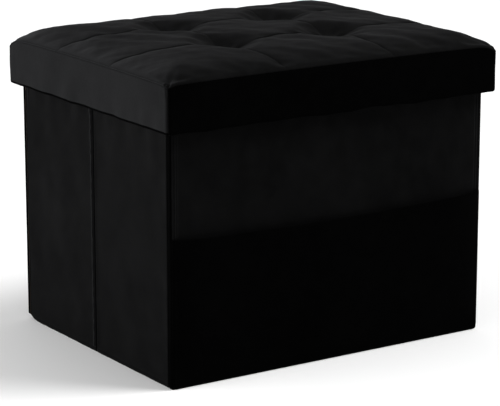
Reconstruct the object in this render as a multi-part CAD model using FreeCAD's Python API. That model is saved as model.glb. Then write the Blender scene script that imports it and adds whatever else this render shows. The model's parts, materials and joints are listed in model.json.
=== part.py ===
import FreeCAD, Part
import math
import os

from FreeCAD import Vector

# Folding storage ottoman with a lift-off padded lid.
# Frame: +Z up, origin on the floor under the middle of the object.
# The front, with the magazine pocket, faces -Y. The short sides face -X and +X,
# and each of them is two half panels with an upright fold line between them.
# All sizes are in millimetres.

# ---------------------------------------------------------------- box
BOX_W = 412.0          # outer width of the box, along X
BOX_D = 322.0          # outer depth of the box, along Y
WALL_TOP = 316.8       # top edge of every wall
VELVET_T = 1.2         # outer cover
BOARD_T = 4.0          # fibreboard
LINING_T = 0.8         # inner cover
WALL_T = VELVET_T + BOARD_T + LINING_T
EDGE_T = 0.6           # cover where it turns over a board's edge
NEST = 0.05            # room between nested layers of one panel
SIDE_BOTTOM = 5.0      # the folding walls hang clear of the base
CORNER_R = 4.0         # outer upright corners of the front and back walls

# ---------------------------------------------------------------- folding geometry
CORNER_GAP = 1.4       # between a long wall and the end of a half panel
SEAM_T = 0.8           # sewn seam that fills most of that gap
HINGE_IN = 6.0         # corner fold axis, inside the inner face of a short side
HINGE_OFF = 0.3        # corner fold axis, behind the inner face of a long wall
MID_OUT = 0.4          # middle fold axis, outside the outer face of a short side
MID_GAP = 1.6          # between the two half panels of one side

# ---------------------------------------------------------------- base
BASE_HALF_W = 195.5
BASE_Y0 = -149.9
BASE_Y1 = 153.9
BASE_COVER_T = 0.5
BASE_BOARD_T = 3.0
BASE_T = 2 * BASE_COVER_T + BASE_BOARD_T
BASE_AXIS_Y = -150.2   # fabric hinge along the front edge
BASE_AXIS_Z = 0.3

# ---------------------------------------------------------------- pocket
POCKET_TOP = 165.0
POCKET_T = 1.6
POCKET_GAP_TOP = 7.2   # the mouth stands open by this much
POCKET_GAP_LOW = 5.0
POCKET_LOW_Z = 30.0
POCKET_HALF_W = 201.5
POCKET_OPEN_HALF_W = 195.5

# ---------------------------------------------------------------- lid
LID_W = 434.0
LID_D = 350.0
LID_BOTTOM = 280.0     # lower edge of the skirt
LID_SEAM = 333.0       # seam between the skirt and the padded top
LID_TOP = 350.0
LID_CORNER_R = 5.0
LID_FIT = 4.5          # between the short walls and the lining inside the skirt
LID_FIT_Y = 7.5        # the same at the long walls
LID_LINING_T = 0.55
RAIL_T = 2.9
SKIRT_T = 2.9          # velvet with a thin wadding behind it
LID_BOARD_T = 4.0
LID_BOARD_Z = 317.8
TOP_VELVET_T = 1.5
TUFT_X = (-70.0, 70.0)
TUFT_Y = (-57.0, 57.0)
TUFT_R = 30.0
TUFT_DEPTH = 12.0
TIE_R = 0.7
WASHER_R = 9.0
WASHER_T = 1.2
STAPLE_W = 10.0
STAPLE_T = 0.7
STAPLE_LEG = 14.0

XO = BOX_W / 2.0
YO = BOX_D / 2.0
XI = XO - WALL_T
YI = YO - WALL_T

os.makedirs("parts", exist_ok=True)


def box(x0, x1, y0, y1, z0, z1):
    return Part.makeBox(x1 - x0, y1 - y0, z1 - z0, Vector(x0, y0, z0))


def mirror_x(shape):
    return shape.mirror(Vector(0, 0, 0), Vector(1, 0, 0))


def mirror_y(shape):
    return shape.mirror(Vector(0, 0, 0), Vector(0, 1, 0))


def one(shapes):
    """Several separate solids as one group, or one solid on its own."""
    solids = []
    for s in shapes:
        solids.extend(s.Solids)
    if len(solids) == 1:
        return solids[0]
    return Part.makeCompound(solids)


def save(name, shape):
    shape = one([shape])
    if not shape.isValid():
        raise RuntimeError(name + " is not a valid shape")
    shape.exportStep("parts/" + name + ".step")


def fillet_upright(shape, radius, want):
    """Rounds the upright edges whose x, y satisfy want(x, y)."""
    edges = []
    for e in shape.Edges:
        a, b = e.Vertexes[0].Point, e.Vertexes[-1].Point
        if abs(a.x - b.x) < 1e-6 and abs(a.y - b.y) < 1e-6 and abs(a.z - b.z) > 1:
            if want(a.x, a.y):
                edges.append(e)
    return shape.makeFillet(radius, edges) if edges else shape


def rounded_wire(hx, hy, r, z):
    """A rectangle 2hx by 2hy with rounded corners, at height z."""
    pts = []
    arcs = []
    k = r * (1 - math.sqrt(0.5))
    for sx, sy in ((1, -1), (1, 1), (-1, 1), (-1, -1)):
        if sx * sy < 0:
            a = Vector(sx * (hx - r), sy * hy, z)
            b = Vector(sx * hx, sy * (hy - r), z)
        else:
            a = Vector(sx * hx, sy * (hy - r), z)
            b = Vector(sx * (hx - r), sy * hy, z)
        m = Vector(sx * (hx - k), sy * (hy - k), z)
        pts.append((a, b))
        arcs.append(Part.Arc(a, m, b).toShape())
    edges = []
    for i in range(4):
        edges.append(arcs[i])
        edges.append(Part.makeLine(pts[i][1], pts[(i + 1) % 4][0]))
    return Part.Wire(edges)


def rounded_block(hx, hy, r, z0, z1):
    return Part.Face(rounded_wire(hx, hy, r, z0)).extrude(Vector(0, 0, z1 - z0))


# ================================================================ front and back walls
# A long wall is a fibreboard in a velvet cover. The cover is a shallow tray: it lies on
# the outer face and turns over all four edges. The lining closes the inner face.

def long_wall(z0):
    """The wall at -Y. Its cover reaches down to z0."""
    cover = fillet_upright(
        box(-XO, XO, -YO, -YI - LINING_T, z0, WALL_TOP),
        CORNER_R,
        lambda x, y: abs(x) > XO - 1 and y < -YO + 1,
    )
    inner = box(-XO + EDGE_T, XO - EDGE_T, -YO + VELVET_T, -YI + 1,
                z0 + EDGE_T, WALL_TOP - EDGE_T)
    inner = fillet_upright(inner, CORNER_R - EDGE_T,
                           lambda x, y: abs(x) > XO - 2 and y < -YO + 2)
    board = box(-XO + EDGE_T + NEST, XO - EDGE_T - NEST,
                -YO + VELVET_T + NEST, -YI - LINING_T - NEST,
                z0 + EDGE_T + NEST, WALL_TOP - EDGE_T - NEST)
    board = fillet_upright(board, CORNER_R - EDGE_T,
                           lambda x, y: abs(x) > XO - 2 and y < -YO + 2)
    lining = box(-XO + EDGE_T, XO - EDGE_T, -YI - LINING_T, -YI,
                 z0 + EDGE_T, WALL_TOP - EDGE_T)
    return board, cover.cut(inner), lining


front_board, front_cover, front_lining = long_wall(0.0)
save("front_board", front_board)
save("front_cover", front_cover)
save("front_lining", front_lining)

back = long_wall(SIDE_BOTTOM)
save("back_board", mirror_y(back[0]))
save("back_cover", mirror_y(back[1]))
save("back_lining", mirror_y(back[2]))

# Sewn corner seams: an upright rib of turned-in cover at each end of a long wall.
seam = box(-XO + 0.8, -XI - 0.6, -YI, -YI + SEAM_T, SIDE_BOTTOM + 0.4, WALL_TOP - 0.6)
front_seams = [seam, mirror_x(seam)]
save("front_corner_seams", one(front_seams))
save("back_corner_seams", one([mirror_y(s) for s in front_seams]))

# ================================================================ short sides
# Each short side is two half panels that butt behind the long walls.
# The corner fold axes stand inside the box, and the middle fold axis just outside it,
# so the halves swing inwards and end up flat between the long walls.

def half_panel():
    """The front half of the side at -X: y from the front corner to the middle."""
    y0 = -YI + CORNER_GAP
    y1 = -MID_GAP / 2.0
    z0, z1 = SIDE_BOTTOM, WALL_TOP
    cover = box(-XO, -XI - LINING_T, y0, y1, z0, z1)
    inner = box(-XO + VELVET_T, -XI + 1, y0 + EDGE_T, y1 - EDGE_T, z0 + EDGE_T, z1 - EDGE_T)
    board = box(-XO + VELVET_T + NEST, -XI - LINING_T - NEST,
                y0 + EDGE_T + NEST, y1 - EDGE_T - NEST,
                z0 + EDGE_T + NEST, z1 - EDGE_T - NEST)
    lining = box(-XI - LINING_T, -XI, y0 + EDGE_T, y1 - EDGE_T, z0 + EDGE_T, z1 - EDGE_T)
    return board, cover.cut(inner), lining


half = half_panel()
for names, pieces in (
    (("left_front_board", "left_front_cover", "left_front_lining"), half),
    (("left_rear_board", "left_rear_cover", "left_rear_lining"), [mirror_y(s) for s in half]),
    (("right_front_board", "right_front_cover", "right_front_lining"), [mirror_x(s) for s in half]),
    (("right_rear_board", "right_rear_cover", "right_rear_lining"),
     [mirror_x(mirror_y(s)) for s in half]),
):
    for name, piece in zip(names, pieces):
        save(name, piece)

# Fold seam: the stitched strip that joins the two halves, on the outer face's side.
fold_seam = box(-XO + 0.1, -XO + 2.6, -MID_GAP / 2.0, -MID_GAP / 2.0 + 0.6,
                SIDE_BOTTOM + 0.4, WALL_TOP - 0.6)
save("left_fold_seam", fold_seam)
save("right_fold_seam", mirror_x(fold_seam))

# ================================================================ magazine pocket
# One velvet panel, sewn to the front along its ends and its lower edge.
# It stands off the wall most at its mouth.

def pocket_section(x, open_top, open_low):
    face = -YO - 0.1
    seat = -YO - 0.3
    pts = [
        (face, 0.4),
        (seat - POCKET_T, 0.4),
        (seat - open_low - POCKET_T, POCKET_LOW_Z),
        (seat - open_top - POCKET_T, POCKET_TOP),
        (seat - open_top, POCKET_TOP),
        (seat - open_low, POCKET_LOW_Z + 0.6),
        (seat, 3.0),
        (face, 3.0),
    ]
    vs = [Vector(x, y, z) for y, z in pts]
    return Part.makePolygon(vs + [vs[0]])


pocket = Part.makeLoft(
    [
        pocket_section(-POCKET_HALF_W, 0.0, 0.0),
        pocket_section(-POCKET_OPEN_HALF_W, POCKET_GAP_TOP - 0.2, POCKET_GAP_LOW - 0.2),
        pocket_section(POCKET_OPEN_HALF_W, POCKET_GAP_TOP - 0.2, POCKET_GAP_LOW - 0.2),
        pocket_section(POCKET_HALF_W, 0.0, 0.0),
    ],
    True,
    True,
)
save("pocket_panel", pocket)

# ================================================================ base
# A loose bottom board in its own covers, hinged by a fabric strip along the front edge,
# so that it can be pulled up against the front wall before the sides fold in.

save("base_cover", box(-BASE_HALF_W, BASE_HALF_W, BASE_Y0, BASE_Y1, 0.0, BASE_T - BASE_COVER_T)
     .cut(box(-BASE_HALF_W + EDGE_T, BASE_HALF_W - EDGE_T, BASE_Y0 + EDGE_T, BASE_Y1 - EDGE_T,
              BASE_COVER_T, BASE_T)))
save("base_board", box(-BASE_HALF_W + EDGE_T + NEST, BASE_HALF_W - EDGE_T - NEST,
                       BASE_Y0 + EDGE_T + NEST, BASE_Y1 - EDGE_T - NEST,
                       BASE_COVER_T + NEST, BASE_COVER_T + BASE_BOARD_T - NEST))
save("base_lining", box(-BASE_HALF_W, BASE_HALF_W, BASE_Y0, BASE_Y1,
                        BASE_T - BASE_COVER_T, BASE_T))
save("pull_ribbon", box(-11.0, 11.0, 92.0, 152.0, BASE_T, BASE_T + 0.55))
save("base_hinge_strip", box(-190.0, 190.0, -YI + 0.1, BASE_Y0 - 0.1, 0.7, 1.3))

# ================================================================ lid
HX, HY = LID_W / 2.0, LID_D / 2.0
SX, SY = HX - SKIRT_T, HY - SKIRT_T            # inside of the velvet skirt
RX, RY = XO + LID_FIT + LID_LINING_T, YO + LID_FIT_Y + LID_LINING_T  # inside of the rails

# Skirt: four sewn velvet strips that meet at the rounded corners.
ring = rounded_block(HX, HY, LID_CORNER_R, LID_BOTTOM, LID_SEAM).cut(
    rounded_block(SX, SY, LID_CORNER_R - SKIRT_T, LID_BOTTOM - 1, LID_SEAM + 1))


def wedge(side):
    """The part of the plan that belongs to one skirt strip, cut at 45 degrees."""
    c = 40.0
    z = LID_BOTTOM - 1
    g = 0.03
    if side == "front":
        pts = [(-HX - 5 + g, -HY - 5), (HX + 5 - g, -HY - 5), (HX - c - g, -HY + c), (-HX + c + g, -HY + c)]
    elif side == "back":
        pts = [(-HX - 5 + g, HY + 5), (HX + 5 - g, HY + 5), (HX - c - g, HY - c), (-HX + c + g, HY - c)]
    elif side == "left":
        pts = [(-HX - 5 - g, -HY - 5), (-HX + c - g, -HY + c), (-HX + c - g, HY - c), (-HX - 5 - g, HY + 5)]
    else:
        pts = [(HX + 5 + g, -HY - 5), (HX - c + g, -HY + c), (HX - c + g, HY - c), (HX + 5 + g, HY + 5)]
    vs = [Vector(x, y, z) for x, y in pts]
    return Part.Face(Part.makePolygon(vs + [vs[0]])).extrude(Vector(0, 0, LID_SEAM - LID_BOTTOM + 2))


for side in ("front", "back", "left", "right"):
    save("lid_" + side + "_skirt", ring.common(wedge(side)))

# Staples driven down through the lid board into the rails.
def staple(cx, cy, along_x):
    w, t = STAPLE_W / 2.0, STAPLE_T / 2.0
    top = LID_BOARD_Z + LID_BOARD_T
    if along_x:
        crown = box(cx - w, cx + w, cy - t, cy + t, top - STAPLE_T, top)
        legs = [box(cx - w, cx - w + STAPLE_T, cy - t, cy + t, top - STAPLE_LEG, top),
                box(cx + w - STAPLE_T, cx + w, cy - t, cy + t, top - STAPLE_LEG, top)]
    else:
        crown = box(cx - t, cx + t, cy - w, cy + w, top - STAPLE_T, top)
        legs = [box(cx - t, cx + t, cy - w, cy - w + STAPLE_T, top - STAPLE_LEG, top),
                box(cx - t, cx + t, cy + w - STAPLE_T, cy + w, top - STAPLE_LEG, top)]
    return crown.fuse(legs).removeSplitter()


rail_mid_x = (RX + SX - NEST) / 2.0
rail_mid_y = (RY + SY - NEST) / 2.0
staples = []
for x in (-150.0, -50.0, 50.0, 150.0):
    for y in (-rail_mid_y, rail_mid_y):
        staples.append(staple(x, y, True))
for y in (-100.0, 0.0, 100.0):
    for x in (-rail_mid_x, rail_mid_x):
        staples.append(staple(x, y, False))
staple_group = Part.makeCompound(staples)
save("lid_staples", staple_group)

# Rails: four stiff strips under the edge of the lid board, behind the skirt.
rail_y = box(-200.0, 200.0, -SY + NEST, -RY, LID_BOTTOM + 1.2, LID_BOARD_Z).cut(staple_group)
rail_x = box(-SX + NEST, -RX, -163.0, 163.0, LID_BOTTOM + 1.2, LID_BOARD_Z).cut(staple_group)
save("lid_front_rail", rail_y)
save("lid_back_rail", mirror_y(rail_y))
save("lid_left_rail", rail_x)
save("lid_right_rail", mirror_x(rail_x))

# Lid board with a counterbore and a hole under each tuft, for the washer and the tie.
board = rounded_block(SX - NEST, SY - NEST, LID_CORNER_R - SKIRT_T, LID_BOARD_Z,
                      LID_BOARD_Z + LID_BOARD_T)
ties, washers = [], []
DIMPLE_Z = LID_TOP - TUFT_DEPTH
for x in TUFT_X:
    for y in TUFT_Y:
        board = board.cut(Part.makeCylinder(WASHER_R + 0.4, WASHER_T + 0.3,
                                            Vector(x, y, LID_BOARD_Z)))
        board = board.cut(Part.makeCylinder(TIE_R + 0.6, 20, Vector(x, y, LID_BOARD_Z - 5)))
        washer = Part.makeCylinder(WASHER_R, WASHER_T, Vector(x, y, LID_BOARD_Z + 0.2))
        washer = washer.cut(Part.makeCylinder(TIE_R + 0.1, 10, Vector(x, y, LID_BOARD_Z - 3)))
        washers.append(washer)
        ties.append(Part.makeCylinder(TIE_R, DIMPLE_Z - TOP_VELVET_T - 0.1 - LID_BOARD_Z - 0.2,
                                      Vector(x, y, LID_BOARD_Z + 0.2)))
save("lid_board", board.cut(staple_group))
save("tuft_washers", Part.makeCompound(washers))
save("tuft_ties", Part.makeCompound(ties))

# Lining inside the lid: a sheet under the board that turns down inside the rails.
lid_lining = box(-RX + NEST, RX - NEST, -RY + NEST, RY - NEST, LID_BOTTOM + 1.2, LID_BOARD_Z - NEST)
lid_lining = lid_lining.cut(box(-RX + LID_LINING_T, RX - LID_LINING_T,
                                -RY + LID_LINING_T, RY - LID_LINING_T,
                                LID_BOTTOM, LID_BOARD_Z - NEST - LID_LINING_T))
save("lid_lining", lid_lining)


# Padded top: a crowned pad with four tufts, and the velvet pulled over it.
def crown(inset, drop):
    secs = [(0.0, 0.0), (1.0, 2.0), (3.5, 3.8), (8.0, 6.0), (15.0, 8.5), (28.0, 11.6),
            (45.0, 13.9), (70.0, 15.7), (105.0, LID_TOP - LID_SEAM)]
    wires = []
    for d, z in secs:
        r = LID_CORNER_R - inset + d * 0.5
        zz = LID_SEAM + z - (drop if z > 0 else 0)
        wires.append(rounded_wire(HX - inset - d, HY - inset - d, r, zz))
    body = Part.makeLoft(wires, True, True)
    for x in TUFT_X:
        for y in TUFT_Y:
            cone = Part.makeCone(4.0 + inset * 0.5, TUFT_R + inset * 0.5, TUFT_DEPTH,
                                 Vector(x, y, LID_TOP - drop - TUFT_DEPTH))
            body = body.cut(cone)
    return body


top_outer = crown(0.0, 0.0)
top_inner = crown(TOP_VELVET_T, TOP_VELVET_T)
save("lid_top_cover", top_outer.cut(top_inner))
pad = crown(TOP_VELVET_T + 0.1, TOP_VELVET_T + 0.1)
# The pad's lower part sits inside the skirt, on the lid board.
pad_low = rounded_block(SX - 0.1, SY - 0.1, LID_CORNER_R - SKIRT_T,
                        LID_BOARD_Z + LID_BOARD_T + 0.05, LID_SEAM)
pad = pad.common(rounded_block(SX - 0.1, SY - 0.1, LID_CORNER_R - SKIRT_T, LID_SEAM, LID_TOP + 5))
pad = pad.fuse(pad_low).removeSplitter()
for x in TUFT_X:
    for y in TUFT_Y:
        pad = pad.cut(Part.makeCylinder(TIE_R + 0.4, 40, Vector(x, y, LID_BOARD_Z)))
save("lid_foam", pad)
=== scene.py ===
import json
import math

import bpy
import numpy as np
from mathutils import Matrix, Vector


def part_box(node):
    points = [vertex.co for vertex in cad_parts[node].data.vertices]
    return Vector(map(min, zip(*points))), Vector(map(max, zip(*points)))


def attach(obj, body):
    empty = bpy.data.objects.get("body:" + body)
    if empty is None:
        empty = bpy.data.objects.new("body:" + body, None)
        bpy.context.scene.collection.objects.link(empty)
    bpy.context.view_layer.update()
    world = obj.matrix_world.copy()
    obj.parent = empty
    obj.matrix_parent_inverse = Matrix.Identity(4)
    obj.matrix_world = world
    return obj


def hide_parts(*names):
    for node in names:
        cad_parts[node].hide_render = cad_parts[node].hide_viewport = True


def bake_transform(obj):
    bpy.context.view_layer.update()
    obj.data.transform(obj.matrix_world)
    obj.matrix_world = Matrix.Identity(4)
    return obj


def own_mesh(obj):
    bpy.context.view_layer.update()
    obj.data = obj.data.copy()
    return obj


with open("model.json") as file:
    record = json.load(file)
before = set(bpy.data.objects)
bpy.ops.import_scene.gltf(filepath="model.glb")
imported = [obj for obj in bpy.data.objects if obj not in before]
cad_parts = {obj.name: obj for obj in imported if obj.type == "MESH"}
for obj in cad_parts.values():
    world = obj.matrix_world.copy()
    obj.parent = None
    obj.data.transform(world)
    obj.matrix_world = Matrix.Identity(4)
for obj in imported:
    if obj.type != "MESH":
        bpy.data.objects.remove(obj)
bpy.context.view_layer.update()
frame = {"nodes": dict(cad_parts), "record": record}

MM = 0.001


# ------------------------------------------------------------------ sizes, from the frame (mm)
def node_box(name):
    lo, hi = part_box(name)
    return [c / MM for c in lo], [c / MM for c in hi]


FRONT_LO, FRONT_HI = node_box("front_cover")
BACK_LO, BACK_HI = node_box("back_cover")
LF_LO, LF_HI = node_box("left_front_cover")
LR_LO, LR_HI = node_box("left_rear_cover")
LINE_LO, LINE_HI = node_box("front_lining")
SKIRT_LO, SKIRT_HI = node_box("lid_front_skirt")
TOPC_LO, TOPC_HI = node_box("lid_top_cover")
POCK_LO, POCK_HI = node_box("pocket_panel")
FOAM_LO, FOAM_HI = node_box("lid_foam")
BASE_LO, BASE_HI = node_box("base_cover")

XO = FRONT_HI[0]              # 206: outer half width of the box
YO = BACK_HI[1]               # 161: outer half depth
YI = -LINE_HI[1]              # 155: inner half depth
WALL_TOP = FRONT_HI[2]
SIDE_Z0 = LF_LO[2]
GAP0, GAP1 = YI, -LF_LO[1]    # the corner gap between a long wall and a half panel
MID = LR_LO[1]                # half of the gap at the middle fold
HX, HY = TOPC_HI[0], TOPC_HI[1]
SEAM_Z, LID_TOP = TOPC_LO[2], TOPC_HI[2]
SKIRT_Z = SKIRT_LO[2]
TUFTS = [(x, y) for x in (-70.0, 70.0) for y in (-57.0, 57.0)]


# ------------------------------------------------------------------ small helpers
def waves(p, length, seed, n=14, spread=0.6):
    """Smooth irregular noise of about unit size: n plane waves of about that wavelength (mm)."""
    rng = np.random.RandomState(seed)
    p = np.asarray(p, float)
    out = np.zeros(p.shape[:-1])
    for _ in range(n):
        d = rng.normal(size=p.shape[-1])
        d /= np.linalg.norm(d)
        lam = length * (1 + spread * (rng.rand() - 0.5) * 2)
        out += np.cos((p @ d) * (2 * np.pi / lam) + rng.rand() * 2 * np.pi)
    return out / math.sqrt(n / 2)


def smooth(a, b, x):
    t = np.clip((x - a) / (b - a), 0, 1)
    return t * t * (3 - 2 * t)


def new_mesh(name, verts, faces, material):
    me = bpy.data.meshes.new(name)
    me.from_pydata([tuple(v) for v in np.asarray(verts) * MM], [], [tuple(int(i) for i in f) for f in faces])
    me.validate()
    me.update()
    me.shade_smooth()
    ob = bpy.data.objects.new(name, me)
    bpy.context.scene.collection.objects.link(ob)
    me.materials.append(material)
    return ob


def fix_normals(ob):
    import bmesh
    bm = bmesh.new()
    bm.from_mesh(ob.data)
    bmesh.ops.recalc_face_normals(bm, faces=bm.faces)
    bm.to_mesh(ob.data)
    bm.free()
    return ob


def spaced(lo, hi, step, fine=(), fine_step=1.0, reach=6.0):
    """Grid lines from lo to hi, closer together near the values in fine."""
    out = [lo]
    x = lo
    while x < hi - 1e-6:
        near = min([abs(x - f) for f in fine] + [1e9])
        s = fine_step + (step - fine_step) * float(smooth(reach * 0.6, reach * 2.2, near))
        x += s
        out.append(x)
    k = (hi - lo) / (out[-1] - lo)
    return np.array([lo + (v - lo) * k for v in out])


def corner_map(U, V, hu, hv, c, rho):
    """Moves the grid's corner zones, c wide, on to nested rounded corners; the outermost has radius rho."""
    a = np.clip((np.abs(U) - (hu - c)) / c, 0, 1)
    b = np.clip((np.abs(V) - (hv - c)) / c, 0, 1)
    zone = (a > 1e-9) & (b > 1e-9)
    r = np.maximum(a, b)
    rr = np.where(zone, r, 1.0)
    f = 1.0 + (rho / c - 1.0) * smooth(0.0, 1.0, rr)
    t = np.where(a >= b, 0.5 * b / np.maximum(a, 1e-9), 1 - 0.5 * a / np.maximum(b, 1e-9))
    L1 = rr * (1 - f)
    L2 = f * rr * math.pi / 2
    s = t * (2 * L1 + L2)
    ang = np.clip((s - L1) / np.maximum(L2, 1e-9), 0, 1) * math.pi / 2
    x = L1 + f * rr * np.cos(ang)
    y = L1 + f * rr * np.sin(ang)
    first, last = s < L1, s > L1 + L2
    x = np.where(first, rr, np.where(last, rr - f * rr - (s - L1 - L2) + 0 * x, x))
    y = np.where(first, s, np.where(last, rr, y))
    x = np.where(last, np.maximum(L1 - (s - L1 - L2), 0), x)
    Un = np.where(zone, np.sign(U) * ((hu - c) + c * x), U)
    Vn = np.where(zone, np.sign(V) * ((hv - c) + c * y), V)
    return Un, Vn


def loop_of(nu, nv):
    """Indices (i, j) round the border of an nu by nv grid, counter-clockwise."""
    out = [(i, 0) for i in range(nu)]
    out += [(nu - 1, j) for j in range(1, nv)]
    out += [(i, nv - 1) for i in range(nu - 2, -1, -1)]
    out += [(0, j) for j in range(nv - 2, 0, -1)]
    return out


def cap_points(us, vs, c, rho, height, rows, tilt=None):
    """An open skin: a grid with rounded corners and the rows that turn down from its border.
    height(U, V, u, v) gives w. Each row is (out, down) from the border."""
    hu, hv = us[-1], vs[-1]
    U0, V0 = np.meshgrid(us, vs, indexing="ij")
    U, V = corner_map(U0, V0, hu, hv, c, rho)
    W = height(U, V, U0, V0)
    nu, nv = U.shape
    pts = [np.stack([U, V, W], -1).reshape(-1, 3)]
    faces = []
    idx = lambda i, j: i * nv + j
    for i in range(nu - 1):
        for j in range(nv - 1):
            faces.append((idx(i, j), idx(i + 1, j), idx(i + 1, j + 1), idx(i, j + 1)))
    loop = loop_of(nu, nv)
    base = np.array([[U[i, j], V[i, j], W[i, j]] for i, j in loop])
    prev = [idx(i, j) for i, j in loop]
    fwd = np.roll(base, -1, 0) - np.roll(base, 1, 0)
    nrm = np.stack([fwd[:, 1], -fwd[:, 0]], -1)
    nrm /= np.linalg.norm(nrm, axis=1)[:, None] + 1e-12
    count = nu * nv
    n = len(loop)
    for out, down in rows:
        o = out(base, nrm) if callable(out) else out
        d = down(base, nrm) if callable(down) else down
        row = base.copy()
        row[:, 0] += nrm[:, 0] * o
        row[:, 1] += nrm[:, 1] * o
        row[:, 2] = base[:, 2] * 0 + base[:, 2] - d if tilt is None else tilt(base, d)
        pts.append(row)
        cur = [count + k for k in range(n)]
        count += n
        for k in range(n):
            m = (k + 1) % n
            faces.append((prev[k], cur[k], cur[m], prev[m]))
        prev = cur
    return np.concatenate(pts), faces, prev


def vertex_normals(P, faces):
    F = np.array(faces)
    a = P[F[:, 2]] - P[F[:, 0]]
    b = P[F[:, 3]] - P[F[:, 1]]
    fn = np.cross(a, b)
    N = np.zeros_like(P)
    for k in range(4):
        np.add.at(N, F[:, k], fn)
    return N / (np.linalg.norm(N, axis=1)[:, None] + 1e-12)


def shell(P, faces, rim, thick):
    """A closed shell: the skin, a copy of it set in by thick, and the strip between their rims."""
    N = vertex_normals(P, faces)
    n = len(P)
    Q = P - N * (thick if np.isscalar(thick) else np.asarray(thick)[:, None])
    allf = list(faces) + [tuple(reversed([i + n for i in f])) for f in faces]
    m = len(rim)
    for k in range(m):
        a, b = rim[k], rim[(k + 1) % m]
        allf.append((a, a + n, b + n, b))
    return np.concatenate([P, Q]), allf


# ------------------------------------------------------------------ materials
def node_material(name):
    mat = bpy.data.materials.new(name)
    mat.use_nodes = True
    nt = mat.node_tree
    nt.nodes.clear()
    out = nt.nodes.new("ShaderNodeOutputMaterial")
    bsdf = nt.nodes.new("ShaderNodeBsdfPrincipled")
    nt.links.new(bsdf.outputs["BSDF"], out.inputs["Surface"])
    co = nt.nodes.new("ShaderNodeTexCoord")
    return mat, nt, bsdf, co


def noise_node(nt, co, scale, detail=3.0, rough=0.5, stretch=None):
    n = nt.nodes.new("ShaderNodeTexNoise")
    n.inputs["Scale"].default_value = scale
    n.inputs["Detail"].default_value = detail
    n.inputs["Roughness"].default_value = rough
    src = co.outputs["Object"]
    if stretch:
        mp = nt.nodes.new("ShaderNodeMapping")
        mp.inputs["Scale"].default_value = stretch
        nt.links.new(src, mp.inputs["Vector"])
        src = mp.outputs["Vector"]
    nt.links.new(src, n.inputs["Vector"])
    return n


def ramp(nt, fac, stops):
    r = nt.nodes.new("ShaderNodeValToRGB")
    e = r.color_ramp.elements
    e[0].position, e[0].color = stops[0][0], (*stops[0][1], 1)
    e[1].position, e[1].color = stops[-1][0], (*stops[-1][1], 1)
    for pos, col in stops[1:-1]:
        k = e.new(pos)
        k.color = (*col, 1)
    nt.links.new(fac, r.inputs["Fac"])
    return r


def bump(nt, height, strength, distance, after=None):
    b = nt.nodes.new("ShaderNodeBump")
    b.inputs["Strength"].default_value = strength
    b.inputs["Distance"].default_value = distance
    nt.links.new(height, b.inputs["Height"])
    if after:
        nt.links.new(after.outputs["Normal"], b.inputs["Normal"])
    return b


def grey(v):
    return (v, v, v * 1.02)


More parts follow.
